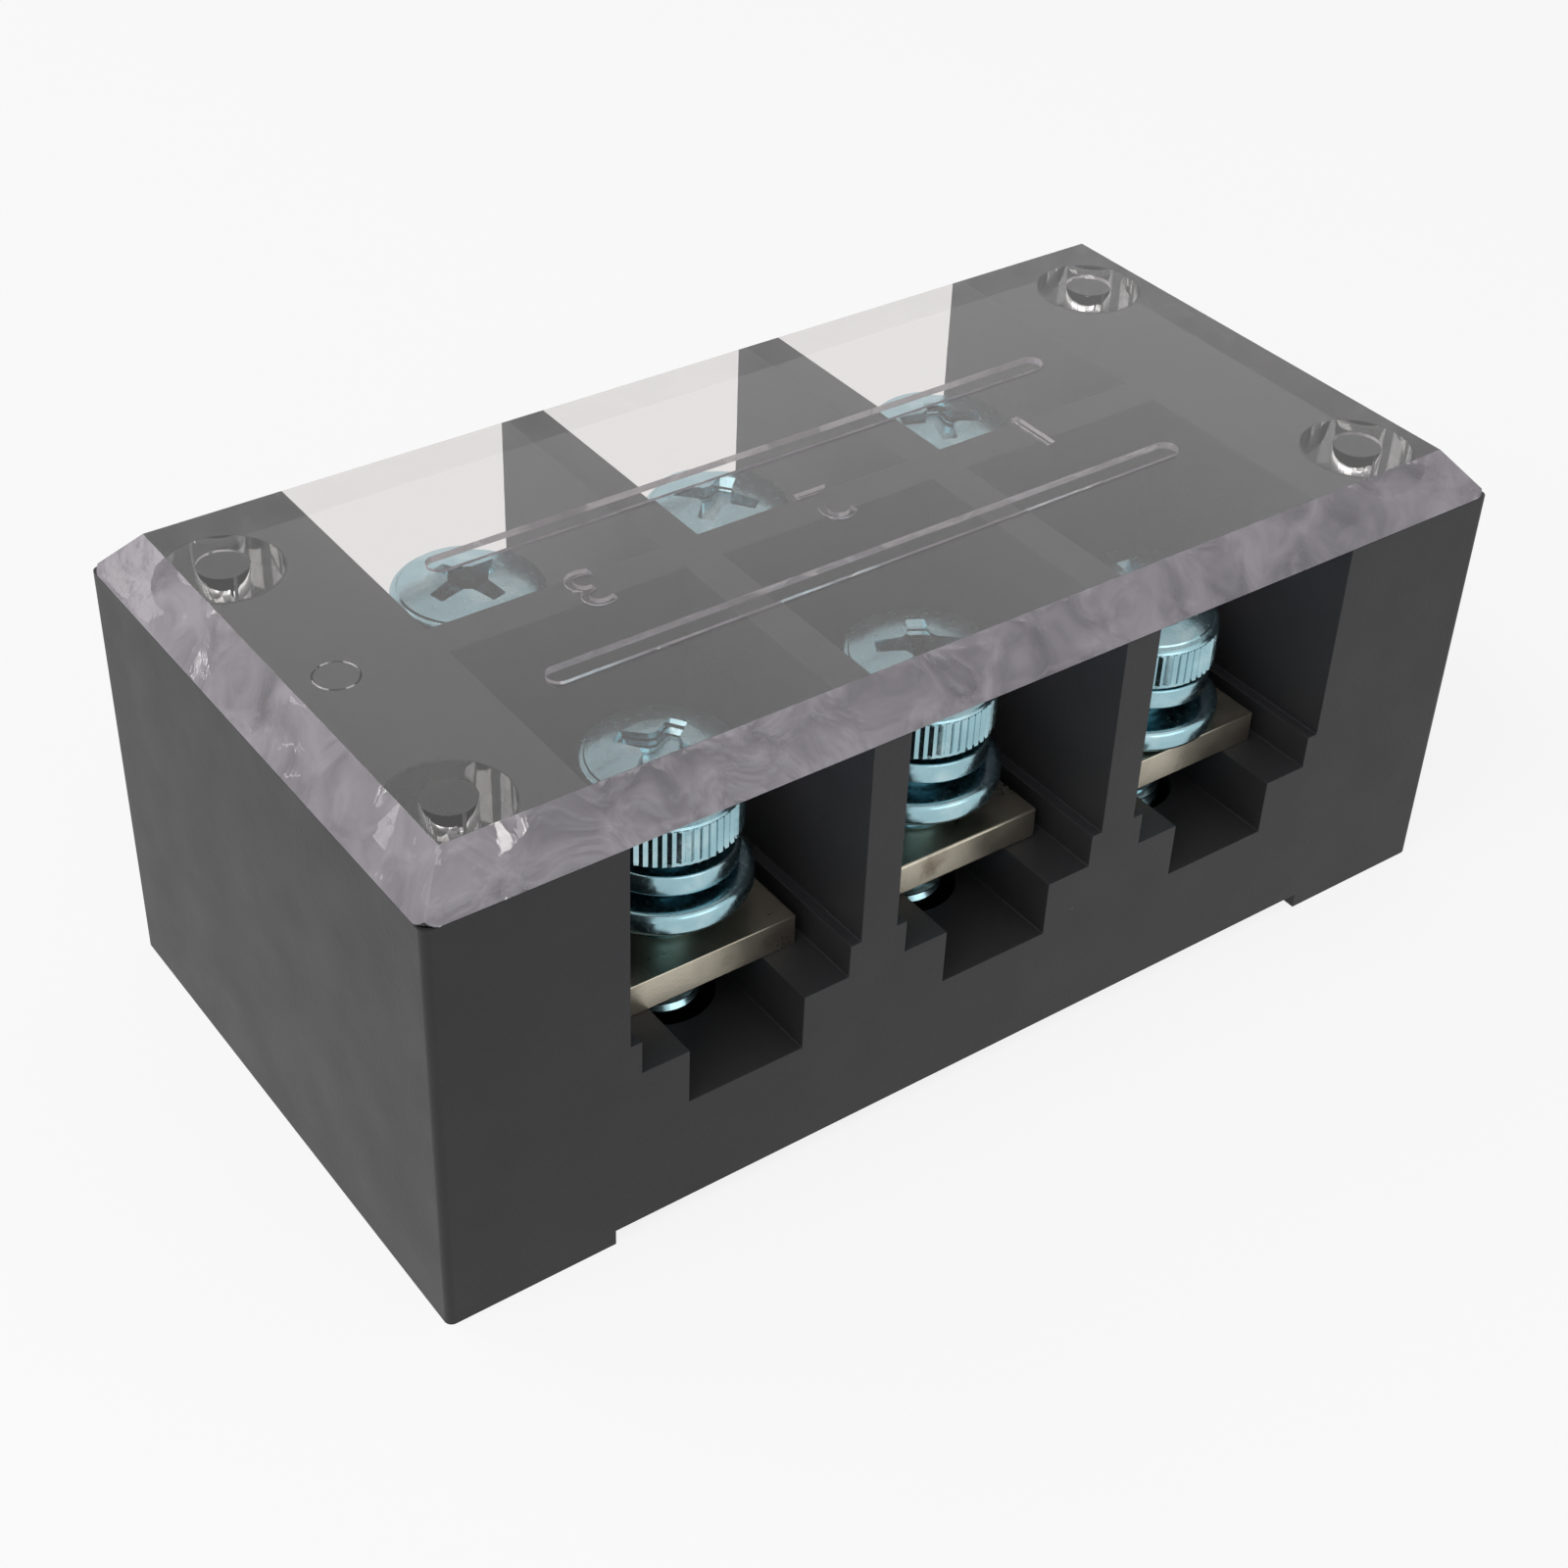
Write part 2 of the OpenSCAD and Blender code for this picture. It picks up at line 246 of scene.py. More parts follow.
def painted_flank_light():
    """The cover's flanks, as moulded against the ground edge of the mould, with light painted on.

    The eye gets a lilac-grey band of painted light, which stands for the light that runs along
    inside the plate and leaves here, with bright uneven painted streaks where the flank is wavy."""
    material, tree, output, place = new_material("polycarbonate flank, painted light")
    waves = noise(tree, place, 4.5, detail=3, distortion=1.2)
    normal = bump(tree, noise(tree, place, 1.4, detail=2), 0.03, normal=bump(tree, waves, 0.22))
    clear = add(tree, "ShaderNodeBsdfPrincipled",
                {"Base Color": rgba(colours().cover), "IOR": 1.58, "Transmission Weight": 1.0,
                 "Roughness": 0.08}, {"Normal": normal})
    # Lilac-grey coat: painted light, standing for the light that runs inside the plate and leaves at
    # the flank.
    painted_glow = add(tree, "ShaderNodeBsdfPrincipled",
               {"Base Color": rgba(linear("#b3adb6")), "IOR": 1.58, "Roughness": 0.22},
               {"Normal": normal})
    # Uneven painted streaks: after the waves, the painted glow takes a share of 35 to 75 per cent.
    mix = add(tree, "ShaderNodeMixShader",
              links={0: spread(tree, waves, 0.35, 0.75, 0.3, 0.7), 1: clear.outputs[0],
                     2: painted_glow.outputs[0]})
    passing = add(tree, "ShaderNodeBsdfTransparent", {"Color": rgba(linear("#cfccd4"))})
    shadow_ray = add(tree, "ShaderNodeLightPath").outputs["Is Shadow Ray"]
    shown = add(tree, "ShaderNodeMixShader",
                links={0: shadow_ray, 1: mix.outputs[0], 2: passing.outputs[0]})
    tree.links.new(shown.outputs[0], output.inputs["Surface"])
    return material


def nickel_plate():
    """Dull nickel plate on rolled brass bar, sawn at its ends.

    The eye gets a warm grey metal with fine rolling lines along the bar, and brown
    patches where the plate is thin."""
    material, tree, output, place = new_material("nickel plate on brass bar")
    colour = colours().bar
    lines = add(tree, "ShaderNodeMapping", {"Scale": (1.0, 0.04, 1.0)}, {"Vector": place})
    rolled = noise(tree, lines.outputs[0], 0.25, detail=3)
    worn = noise(tree, place, 4.5, detail=5, roughness=0.6)
    base = ramp(tree, worn, [(0.45, rgba(colour)), (0.62, shade(colour, 0.86)),
                             (0.80, rgba(linear("#7d7260")))])
    shader = add(tree, "ShaderNodeBsdfPrincipled", {"Metallic": 1.0},
                 {"Base Color": base,
                  "Roughness": spread(tree, worn, 0.26, 0.46, 0.3, 0.75),
                  "Normal": bump(tree, rolled, 0.012)})
    tree.links.new(shader.outputs[0], output.inputs["Surface"])
    return material


def zinc_plate():
    """Blue-passivated zinc plate on steel, bright from the barrel.

    The eye gets a cool blue-green silver with soft bright streaks, faint lighter and darker
    tints of the passivation, and small dull tumbling marks."""
    material, tree, output, place = new_material("zinc plate, blue passivated")
    colour = colours().zinc
    tint = noise(tree, place, 3.2, detail=3, distortion=0.4)
    base = ramp(tree, tint, [(0.32, shade(colour, 0.90)), (0.5, rgba(colour)),
                             (0.68, rgba(linear("#b4d0d6")))])
    marks = noise(tree, place, 0.5, detail=4, roughness=0.65)
    shader = add(tree, "ShaderNodeBsdfPrincipled", {"Metallic": 1.0},
                 {"Base Color": base,
                  "Roughness": spread(tree, marks, 0.14, 0.30, 0.35, 0.7),
                  "Normal": bump(tree, marks, 0.003)})
    tree.links.new(shader.outputs[0], output.inputs["Surface"])
    return material


def studio_floor():
    """Matte painted board, seen as a pale ground that still takes the block's shadow."""
    material, tree, output, place = new_material("painted board, matte white")
    fine = noise(tree, place, 30, detail=3)
    base = ramp(tree, fine, [(0.3, shade(colours().floor, 0.99)), (0.7, rgba(colours().floor))])
    shader = add(tree, "ShaderNodeBsdfPrincipled",
                 {"Roughness": 0.85, "Specular IOR Level": 0.1}, {"Base Color": base})
    glow = add(tree, "ShaderNodeEmission", {"Strength": 1.0})
    path = add(tree, "ShaderNodeLightPath").outputs
    seen = add(tree, "ShaderNodeMath", links={0: path["Is Camera Ray"], 1: path["Is Glossy Ray"]},
               operation="MAXIMUM").outputs[0]
    seen = add(tree, "ShaderNodeMath", links={0: seen, 1: path["Is Transmission Ray"]},
               operation="MAXIMUM").outputs[0]
    share = add(tree, "ShaderNodeMath", {1: 0.85}, {0: seen}, operation="MULTIPLY").outputs[0]
    mix = add(tree, "ShaderNodeMixShader", links={0: share, 1: shader.outputs[0],
                                                  2: glow.outputs[0]})
    tree.links.new(mix.outputs[0], output.inputs["Surface"])
    return material


# ---- mesh helpers ----


def finish_piece(bm, name, material, body, smooth_angle=32, replaces=()):
    """Makes the object at the origin, shades it, and hands it to its body."""
    mesh = bpy.data.meshes.new(name)
    bm.to_mesh(mesh)
    bm.free()
    mesh.materials.append(material)
    mesh.shade_smooth()
    mesh.set_sharp_from_angle(angle=math.radians(smooth_angle))
    piece = bpy.data.objects.new(name, mesh)
    bpy.context.scene.collection.objects.link(piece)
    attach(piece, body)
    if replaces:
        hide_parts(*replaces)
    return piece


def merged_copy(node, whole_faces=True):
    """The CAD node's mesh with its loose triangles joined and its flat faces made whole."""
    bm = bmesh.new()
    bm.from_mesh(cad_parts[node].data)
    bmesh.ops.remove_doubles(bm, verts=bm.verts, dist=0.002 * MM)
    if whole_faces:
        bmesh.ops.dissolve_limit(bm, angle_limit=math.radians(1.0), verts=bm.verts,
                                 edges=bm.edges, use_dissolve_boundaries=False)
    for layer in list(bm.loops.layers.float_vector):
        bm.loops.layers.float_vector.remove(layer)
    return bm


def flatten_flats(mesh, flank=None):
    """Keeps the large flat faces flat, so that only the rounded edges are shaded round."""
    for face in mesh.polygons:
        normal = face.normal
        if max(abs(normal.x), abs(normal.y), abs(normal.z)) > 0.9995 or (
                flank and abs(normal.z - flank) < 0.002):
            face.use_smooth = False


def round_edges(bm, width, least_angle=25, segments=2, keep=None):
    """Rounds every edge sharper than the angle, apart from those that keep() holds back."""
    edges = [e for e in bm.edges if e.is_manifold
             and e.calc_face_angle(0) > math.radians(least_angle) and not (keep and keep(e))]
    bmesh.ops.bevel(bm, geom=edges, offset=width, offset_type="OFFSET", segments=segments,
                    profile=0.5, affect="EDGES", material=-1, clamp_overlap=True,
                    harden_normals=False)


def ring_of_points(bm, points):
    """A chain of vertices in the XZ plane with the edges between them."""
    verts = [bm.verts.new((x, 0, z)) for x, z in points]
    edges = [bm.edges.new(pair) for pair in zip(verts, verts[1:])]
    return verts, edges


def spun(points, steps, closed=True):
    """A bmesh turned round Z from a half section of (radius, height) points."""
    bm = bmesh.new()
    verts, edges = ring_of_points(bm, points)
    if closed:
        edges.append(bm.edges.new((verts[-1], verts[0])))
    bmesh.ops.spin(bm, geom=verts + edges, cent=(0, 0, 0), axis=(0, 0, 1), angle=math.tau,
                   steps=steps, use_merge=True)
    bmesh.ops.remove_doubles(bm, verts=bm.verts, dist=0.0005 * MM)
    bmesh.ops.recalc_face_normals(bm, faces=bm.faces)
    return bm


def rounded_corners(corners, radius, segments=4):
    """The corners of a convex section, each cut by an arc."""
    rounded = []
    count = len(corners)
    for i, corner in enumerate(corners):
        here = Vector(corner)
        before = (Vector(corners[i - 1]) - here).normalized()
        after = (Vector(corners[(i + 1) % count]) - here).normalized()
        half = before.angle(after) / 2
        centre = here + (before + after).normalized() * (radius / math.sin(half))
        start = here + before * (radius / math.tan(half)) - centre
        end = here + after * (radius / math.tan(half)) - centre
        for k in range(segments + 1):
            way = start.slerp(end, k / segments).normalized() * radius
            rounded.append(tuple(centre + way))
    return rounded


def cut_away(piece, *cutters):
    """Cuts other meshes out of a piece and applies the cut."""
    for cutter in cutters:
        modifier = piece.modifiers.new("cut", "BOOLEAN")
        modifier.operation = "DIFFERENCE"
        modifier.solver = "EXACT"
        modifier.object = cutter
    depsgraph = bpy.context.evaluated_depsgraph_get()
    cut = bpy.data.meshes.new_from_object(piece.evaluated_get(depsgraph))
    piece.modifiers.clear()
    old = piece.data
    piece.data = cut
    bpy.data.meshes.remove(old)
    for cutter in cutters:
        data = cutter.data
        bpy.data.objects.remove(cutter)
        bpy.data.meshes.remove(data)


def loose_object(bm, name):
    mesh = bpy.data.meshes.new(name)
    bm.to_mesh(mesh)
    bm.free()
    piece = bpy.data.objects.new(name, mesh)
    bpy.context.scene.collection.objects.link(piece)
    return piece


# ---- base ----


class TERMINAL_STRIP_OT_base(bpy.types.Operator):
    """Moulded base with rounded edges in dark thermoset"""
    bl_idname = "terminal_strip.base"
    bl_label = "Moulded Base"

    def execute(self, context):
        bm = merged_copy("base")
        round_edges(bm, sizes().moulded_edge)
        base = finish_piece(bm, "moulded_base", moulded_thermoset(), "block",
                            smooth_angle=25, replaces=["base"])
        flatten_flats(base.data)
        return {"FINISHED"}


# ---- cover ----


def digit_cutter(text, x, underside):
    """A pole number as a shallow solid that engraves the cover's underside, read from the rear."""
    curve = bpy.data.curves.new("digit", "FONT")
    curve.body = text
    curve.align_x = "CENTER"
    curve.align_y = "CENTER"
    curve.size = sizes().digit_height * 1.42
    curve.extrude = 0.35 * MM
    curve.resolution_u = 6
    source = bpy.data.objects.new("digit", curve)
    bpy.context.scene.collection.objects.link(source)
    mesh = bpy.data.meshes.new_from_object(source.evaluated_get(bpy.context.evaluated_depsgraph_get()))
    bpy.data.objects.remove(source)
    mesh.transform(Matrix.Translation((x, 0, underside)) @ Matrix.Rotation(math.pi, 4, "Z"))
    bm = bmesh.new()
    bm.from_mesh(mesh)
    bpy.data.meshes.remove(mesh)
    bmesh.ops.remove_doubles(bm, verts=bm.verts, dist=0.01 * MM)
    bmesh.ops.dissolve_degenerate(bm, edges=bm.edges, dist=0.005 * MM)
    bmesh.ops.triangulate(bm, faces=bm.faces)
    bmesh.ops.recalc_face_normals(bm, faces=bm.faces)
    if bm.calc_volume(signed=True) < 0:
        bmesh.ops.reverse_faces(bm, faces=bm.faces)
    print("digit", text, "open edges", sum(not e.is_manifold for e in bm.edges))
    return loose_object(bm, "digit_" + text)


class TERMINAL_STRIP_OT_cover(bpy.types.Operator):
    """Solid clear cover plate with grooves, plugs and pole numbers"""
    bl_idname = "terminal_strip.cover"
    bl_label = "Clear Cover"

    def execute(self, context):
        low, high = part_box("cover")
        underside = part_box("base")[1].z
        air_gap = 0.04 * MM
        bm = merged_copy("cover", whole_faces=False)
        # The plate bears on the base at a few high spots only: a thin film of air is left.
        for vert in bm.verts:
            if abs(vert.co.z - underside) < 0.01 * MM:
                vert.co.z += air_gap
        rim = underside + air_gap + 0.02 * MM
        round_edges(bm, sizes().cover_edge, least_angle=20, segments=3,
                    keep=lambda e: max(v.co.z for v in e.verts) < rim
                    or abs(e.verts[0].co.x) < 30 * MM and high.z - e.verts[0].co.z > 0.1 * MM)
        cover = finish_piece(bm, "clear_cover", clear_polycarbonate(), "cover",
                             smooth_angle=24, replaces=["cover"])
        level = underside + air_gap
        cutters = [digit_cutter(text, x * MM, level)
                   for text, x in (("3", -19.8), ("2", 0.7), ("1", 20.2))]
        gate = spun([(1.45 * MM, level - 0.2 * MM), (1.75 * MM, level - 0.2 * MM),
                     (1.6 * MM, level + 0.18 * MM)], 40)
        bmesh.ops.translate(gate, verts=gate.verts, vec=(-39 * MM, 0, 0))
        cutters.append(loose_object(gate, "gate_mark"))
        cut_away(cover, *cutters)
        cover.data.set_sharp_from_angle(angle=math.radians(24))
        # Second material slot: the lilac-grey painted light for the flanks and the engraved walls.
        cover.data.materials.append(painted_flank_light())
        flank = 3.0 / math.hypot(3.0, (high.z - underside) / MM)
        flatten_flats(cover.data, flank)
        for face in cover.data.polygons:
            x, y, z = face.center / MM
            on_flank = 0.3 < face.normal.z < 0.9 and face.center.z > level
            # The upright sides of the grooves and numbers get the painted light too, so they show as
            # thin bright painted lines.
            engraved = abs(face.normal.z) < 0.3 and 0.02 < z - level / MM < 0.7 and (
                abs(x) < 29 and abs(y) < 10)
            if on_flank or engraved:
                face.material_index = 1
        return {"FINISHED"}


# ---- bars ----


class TERMINAL_STRIP_OT_bars(bpy.types.Operator):
    """The three plated bars with deburred edges"""
    bl_idname = "terminal_strip.bars"
    bl_label = "Bars"

    def execute(self, context):
        plate = nickel_plate()
        for pole in POLES:
            node = "busbar_%d" % pole
            bm = merged_copy(node)
            round_edges(bm, sizes().bar_edge, least_angle=40)
            bar = finish_piece(bm, "plated_bar_%d" % pole, plate, "block",
                               replaces=[node])
            flatten_flats(bar.data)
        return {"FINISHED"}


# ---- screws and washers ----


def seat_of(node):
    """Centre of a round node's underside."""
    low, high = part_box(node)
    return Vector(((low.x + high.x) / 2, (low.y + high.y) / 2, low.z))


class TERMINAL_STRIP_OT_flat_washers(bpy.types.Operator):
    """Thick flat washers with tumbled edges"""
    bl_idname = "terminal_strip.flat_washers"
    bl_label = "Flat Washers"

    def execute(self, context):
        zinc = zinc_plate()
        for tag in TERMINALS:
            node = "flat_washer_" + tag
            low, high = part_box(node)
            outer = (high.x - low.x) / 2
            height = high.z - low.z
            hole = 3.05 * MM
            section = rounded_corners([(hole, 0), (outer, 0), (outer, height), (hole, height)],
                                      min(sizes().washer_edge, height * 0.45), 5)
            bm = spun(section, 72)
            bmesh.ops.translate(bm, verts=bm.verts, vec=seat_of(node))
            finish_piece(bm, "plain_washer_" + tag, zinc, "washers_" + tag,
                         replaces=[node])
        return {"FINISHED"}


class TERMINAL_STRIP_OT_spring_washers(bpy.types.Operator):
    """Split washers of square wire, one left-hand turn"""
    bl_idname = "terminal_strip.spring_washers"
    bl_label = "Split Washers"

    def execute(self, context):
        zinc = bpy.data.materials["zinc plate, blue passivated"]
        split = math.radians(10)
        for tag in TERMINALS:
            node = "spring_washer_" + tag
            low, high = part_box(node)
            free = high.z - low.z
            wire = free / 2
            inner, outer = 3.2 * MM, (high.x - low.x) / 2
            section = rounded_corners([(inner, 0), (outer, 0), (outer, wire), (inner, wire)],
                                      sizes().wire_edge, 3)
            bm = bmesh.new()
            verts, edges = ring_of_points(bm, [(x, z + free - wire) for x, z in section])
            edges.append(bm.edges.new((verts[-1], verts[0])))
            end = bm.faces.new(verts)
            steps = 70
            bmesh.ops.spin(bm, geom=[end] + edges + verts, cent=(0, 0, 0), axis=(0, 0, 1),
                           dvec=(0, 0, -(free - wire) / steps), angle=math.tau - split,
                           steps=steps, use_merge=False)
            bmesh.ops.remove_doubles(bm, verts=bm.verts, dist=0.0005 * MM)
            bmesh.ops.recalc_face_normals(bm, faces=bm.faces)
            turn = math.radians(5 + 70 * int(tag[1]))
            bmesh.ops.rotate(bm, verts=bm.verts, cent=(0, 0, 0),
                             matrix=Matrix.Rotation(turn, 3, "Z"))
            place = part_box("flat_washer_" + tag)
            centre = (place[0] + place[1]) / 2
            bmesh.ops.translate(bm, verts=bm.verts, vec=(centre.x, centre.y, low.z))
            finish_piece(bm, "split_washer_" + tag, zinc, "washers_" + tag,
                         replaces=[node])
        return {"FINISHED"}


def fluted_head(radius, side, crown, flutes, depth):
    """Head with upright flutes, a rounded shoulder and a low crown, standing on z = 0."""
    bm = bmesh.new()
    steps = flutes * 4
    ring = bmesh.ops.create_circle(bm, cap_ends=True, radius=radius - 0.35 * MM, segments=steps)
    floor = bm.faces[:]
    crown_radius = (radius * radius + crown * crown) / (2 * crown)

    def rise(width, height, flute):
        """Carries the top loop up to a new level and width."""
        nonlocal floor
        made = bmesh.ops.extrude_face_region(bm, geom=floor)["geom"]
        verts = [g for g in made if isinstance(g, bmesh.types.BMVert)]
        floor = [g for g in made if isinstance(g, bmesh.types.BMFace)]
        for vert in verts:
            angle = math.atan2(vert.co.y, vert.co.x)
            wave = (1 + math.cos(angle * flutes)) / 2
            r = width - flute * depth * wave
            vert.co = (r * math.cos(angle), r * math.sin(angle), height)

    edge = 0.55 * MM
    rise(radius, 0.30 * MM, 0.3)
    rise(radius, 0.50 * MM, 1.0)
    rise(radius, side - edge, 1.0)
    rise(radius - 0.03 * MM, side - edge + 0.1 * MM, 0.3)
    for k in range(1, 6):
        a = math.radians(18 * k)
        rise(radius - edge + edge * math.cos(a), side - edge + edge * math.sin(a), 0.0)
    top = radius - edge
    full = side + crown
    start = side
    for share in (0.985, 0.93, 0.8, 0.6, 0.4, 0.2):
        r = top * share
        dome = full - crown_radius + math.sqrt(crown_radius ** 2 - r * r)
        rise(r, max(start, dome - 0.02 * MM), 0.0)
    bmesh.ops.poke(bm, faces=floor)
    for vert in bm.verts:
        if vert.co.xy.length < 1e-7:
            if vert.co.z > side:
                vert.co.z = full - 0.02 * MM
    bmesh.ops.remove_doubles(bm, verts=bm.verts, dist=0.0005 * MM)
    bmesh.ops.recalc_face_normals(bm, faces=bm.faces)
    return bm


def cross_cutter(span, wing, core, depth, top):
    """Cross recess as a solid: four blunt wings that narrow to a small floor, with a fuller core."""
    bm = bmesh.new()
    outline = []
    for quarter in range(4):
        a = math.tau * quarter / 4
        for x, y in ((core / 2, -wing * 0.62), (span / 2, -wing / 2), (span / 2, wing / 2),
                     (core / 2, wing * 0.62)):
            outline.append((x * math.cos(a) - y * math.sin(a), x * math.sin(a) + y * math.cos(a)))
        a += math.tau / 8
        outline.append((core * 0.60 * math.cos(a), core * 0.60 * math.sin(a)))
    face = bm.faces.new([bm.verts.new((x, y, top + 0.4 * MM)) for x, y in outline])
    levels = ((0.0, 1.0, 1.0), (-depth * 0.45, 0.80, 0.94), (-depth * 0.85, 0.52, 0.80),
              (-depth, 0.30, 0.55))
    faces = [face]
    for drop, share, narrow in levels:
        made = bmesh.ops.extrude_face_region(bm, geom=faces)["geom"]
        verts = [g for g in made if isinstance(g, bmesh.types.BMVert)]
        faces = [g for g in made if isinstance(g, bmesh.types.BMFace)]
        for vert, (x, y) in zip(sorted(verts, key=lambda v: v.index), [(v.co.x, v.co.y) for v in
                                sorted(verts, key=lambda v: v.index)]):
            r = math.hypot(x, y)
            limit = span / 2 * share
            keep = min(1.0, limit / r) * narrow
            vert.co = (x * keep, y * keep, top + drop)
    bmesh.ops.recalc_face_normals(bm, faces=bm.faces)
    return bm


def threaded_shank(radius, length, pitch, depth, upper):
    """Shank with a rolled right-hand thread and a chamfered tip, hanging below z = 0."""
    turns = int(length / pitch) + 2
    flat = pitch / 8
    rise = (pitch - 2 * flat) / 2
    points = []
    for i in range(turns):
        z = -length - pitch + i * pitch
        points += [(radius, z), (radius, z + flat), (radius - depth, z + flat + rise),
                   (radius - depth, z + 2 * flat + rise)]
    points.append((radius, -length - pitch + turns * pitch))
    bm = bmesh.new()
    verts, edges = ring_of_points(bm, points)
    steps = 48
    bmesh.ops.spin(bm, geom=verts + edges, cent=(0, 0, 0), axis=(0, 0, 1),
                   dvec=(0, 0, pitch / steps), angle=math.tau, steps=steps, use_merge=False)
    bmesh.ops.remove_doubles(bm, verts=bm.verts, dist=0.002 * MM)
    for level, outwards in ((-length, False), (upper, True)):
        bmesh.ops.bisect_plane(bm, geom=bm.verts[:] + bm.edges[:] + bm.faces[:], dist=1e-7,
                               plane_co=(0, 0, level), plane_no=(0, 0, 1 if outwards else -1),
                               clear_outer=True)
    open_edges = [e for e in bm.edges if e.is_boundary]
    bmesh.ops.holes_fill(bm, edges=open_edges, sides=0)
    chamfer = 1.0 * MM
    for vert in bm.verts:
        above = vert.co.z + length
        limit = radius - 0.8 * MM + 0.8 * MM * above / chamfer
        r = vert.co.xy.length
        if above < chamfer and r > limit:
            vert.co.xy = vert.co.xy * (limit / r)
    bmesh.ops.recalc_face_normals(bm, faces=bm.faces)
    return bm


class TERMINAL_STRIP_OT_screws(bpy.types.Operator):
    """Terminal screws with fluted heads, cross recesses and rolled threads"""
    bl_idname = "terminal_strip.screws"
    bl_label = "Terminal Screws"

    def execute(self, context):
        zinc = bpy.data.materials["zinc plate, blue passivated"]
        shank_length = 16 * MM
        for tag in TERMINALS:
            node = "screw_" + tag
            low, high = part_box(node)
            centre = Vector(((low.x + high.x) / 2, (low.y + high.y) / 2, low.z + shank_length))
            radius = (high.x - low.x) / 2
            height = high.z - centre.z
            crown = 0.7 * MM
            head = fluted_head(radius, height - crown, crown, sizes().knurl_count,
                               sizes().knurl_depth)
            shank = threaded_shank(2.98 * MM, shank_length, sizes().thread_pitch,
                                   sizes().thread_depth, 0.05 * MM)
            screw = finish_piece(head, "terminal_screw_" + tag, zinc, "screw_" + tag,
                                 replaces=[node])
            cut_away(screw, loose_object(
                cross_cutter(7.0 * MM, 1.35 * MM, 2.5 * MM, 2.6 * MM, height), "recess"))
            bm = bmesh.new()
            bm.from_mesh(screw.data)
            shank_mesh = bpy.data.meshes.new("shank")
            shank.to_mesh(shank_mesh)
            shank.free()
            bm.from_mesh(shank_mesh)
            bpy.data.meshes.remove(shank_mesh)
            row = -1 if tag[0] == "f" else 1
            turn = math.radians(25 * int(tag[1]) - 10 * row)
            bmesh.ops.rotate(bm, verts=bm.verts, cent=(0, 0, 0),
                             matrix=Matrix.Rotation(turn, 3, "Z"))
            bmesh.ops.translate(bm, verts=bm.verts, vec=centre)
            bm.to_mesh(screw.data)
            bm.free()
            screw.data.set_sharp_from_angle(angle=math.radians(28))
        return {"FINISHED"}


# ---- stage ----


def soft_light(name, place, aim, size, watts, colour):
    """A square area light that looks at a point."""
    light = bpy.data.lights.new(name, "AREA")
    light.shape = "RECTANGLE"
    light.size, light.size_y = size
    light.energy = watts
    light.color = colour
    lamp = bpy.data.objects.new(name, light)
    bpy.context.scene.collection.objects.link(lamp)
    lamp.location = place
    lamp.rotation_euler = (Vector(aim) - Vector(place)).to_track_quat("-Z", "Y").to_euler()
    return lamp


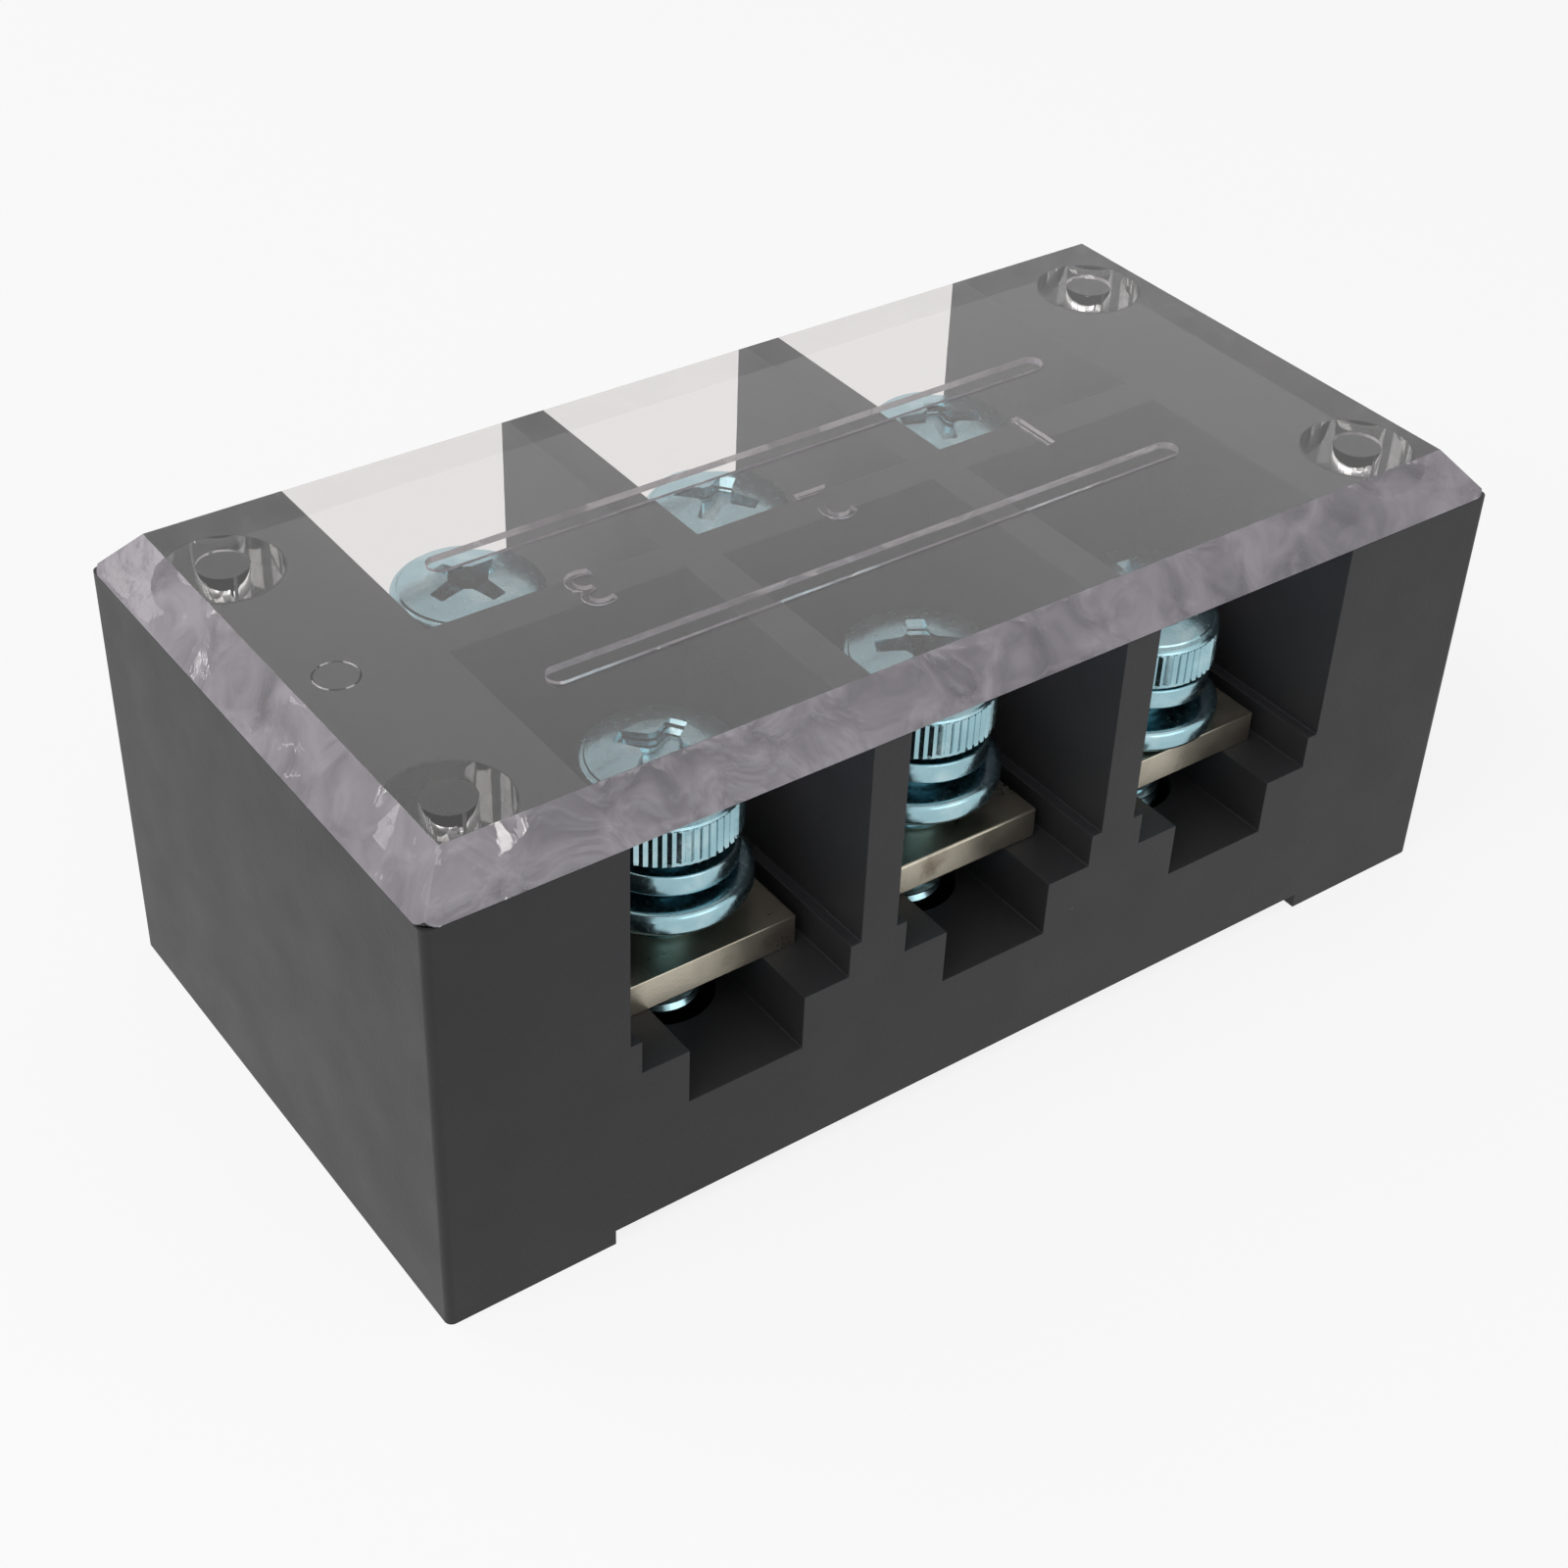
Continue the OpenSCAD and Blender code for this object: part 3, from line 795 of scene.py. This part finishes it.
class TERMINAL_STRIP_OT_stage(bpy.types.Operator):
    """Pale floor, soft lights, white surroundings and the camera"""
    bl_idname = "terminal_strip.stage"
    bl_label = "Stage"

    def execute(self, context):
        scene = context.scene
        scene.view_settings.view_transform = "Standard"
        bm = bmesh.new()
        bmesh.ops.create_grid(bm, x_segments=1, y_segments=1, size=3.0)
        floor = loose_object(bm, "floor")
        floor.data.materials.append(studio_floor())

        world = bpy.data.worlds.new("studio")
        scene.world = world
        world.use_nodes = True
        tree = world.node_tree
        tree.nodes.clear()
        output = add(tree, "ShaderNodeOutputWorld")
        path = add(tree, "ShaderNodeLightPath").outputs
        seen = add(tree, "ShaderNodeMath", links={0: path["Is Camera Ray"], 1: path["Is Glossy Ray"]},
                   operation="MAXIMUM").outputs[0]
        seen = add(tree, "ShaderNodeMath", links={0: seen, 1: path["Is Transmission Ray"]},
                   operation="MAXIMUM").outputs[0]
        white = add(tree, "ShaderNodeBackground", {"Color": (1, 1, 1, 1), "Strength": 1.0})
        fill = add(tree, "ShaderNodeBackground", {"Color": (0.97, 0.98, 1, 1), "Strength": 0.38})
        mix = add(tree, "ShaderNodeMixShader",
                  links={0: seen, 1: fill.outputs[0], 2: white.outputs[0]})
        tree.links.new(mix.outputs[0], output.inputs["Surface"])

        soft_light("window", (-0.45, -0.10, 0.50), (0, 0, 0.02), (0.5, 0.4), 1.7, (1, 0.98, 0.95))
        soft_light("front", (0.10, -0.60, 0.30), (0, 0, 0.02), (0.5, 0.3), 0.45, (0.97, 0.99, 1))
        soft_light("side", (-0.40, 0.50, 0.50), (0, 0, 0.02), (0.4, 0.3), 0.8, (1, 1, 1))

        camera = bpy.data.cameras.new("camera")
        camera.sensor_width = 36
        camera.lens = 59.1
        camera.clip_start = 0.005
        view = bpy.data.objects.new("camera", camera)
        scene.collection.objects.link(view)
        place = Vector((-98.25, -126.70, 134.34)) * MM
        target = Vector((-2.35, -0.50, 12.63)) * MM
        look = (target - place).to_track_quat("-Z", "Y").to_matrix().to_4x4()
        view.matrix_world = Matrix.Translation(place) @ look @ Matrix.Rotation(
            math.radians(2.44), 4, "Z")
        scene.camera = view
        return {"FINISHED"}


class TERMINAL_STRIP_PT_panel(bpy.types.Panel):
    """Lists the pieces of the terminal strip"""
    bl_idname = "TERMINAL_STRIP_PT_panel"
    bl_label = "Terminal Strip"
    bl_space_type = "VIEW_3D"
    bl_region_type = "UI"
    bl_category = "Terminal Strip"

    def draw(self, context):
        layout = self.layout
        for group in (context.scene.terminal_strip_sizes, context.scene.terminal_strip_colours):
            box = layout.box()
            for name in group.bl_rna.properties.keys():
                if name not in ("rna_type", "name"):
                    box.prop(group, name)
        for operator in OPERATORS:
            layout.operator(operator.bl_idname)


OPERATORS = (
    TERMINAL_STRIP_OT_base, TERMINAL_STRIP_OT_bars, TERMINAL_STRIP_OT_flat_washers,
    TERMINAL_STRIP_OT_spring_washers, TERMINAL_STRIP_OT_screws, TERMINAL_STRIP_OT_cover,
    TERMINAL_STRIP_OT_stage)
CLASSES = (TerminalStripSizes, TerminalStripColours, *OPERATORS, TERMINAL_STRIP_PT_panel)


def register():
    for cls in CLASSES:
        bpy.utils.register_class(cls)
    bpy.types.Scene.terminal_strip_sizes = PointerProperty(type=TerminalStripSizes)
    bpy.types.Scene.terminal_strip_colours = PointerProperty(type=TerminalStripColours)


def unregister():
    del bpy.types.Scene.terminal_strip_colours
    del bpy.types.Scene.terminal_strip_sizes
    for cls in reversed(CLASSES):
        bpy.utils.unregister_class(cls)


def main():
    register()
    for operator in OPERATORS:
        getattr(bpy.ops.terminal_strip, operator.bl_idname.split(".")[1])()
    bpy.context.view_layer.update()


if __name__ == "__main__":
    main()
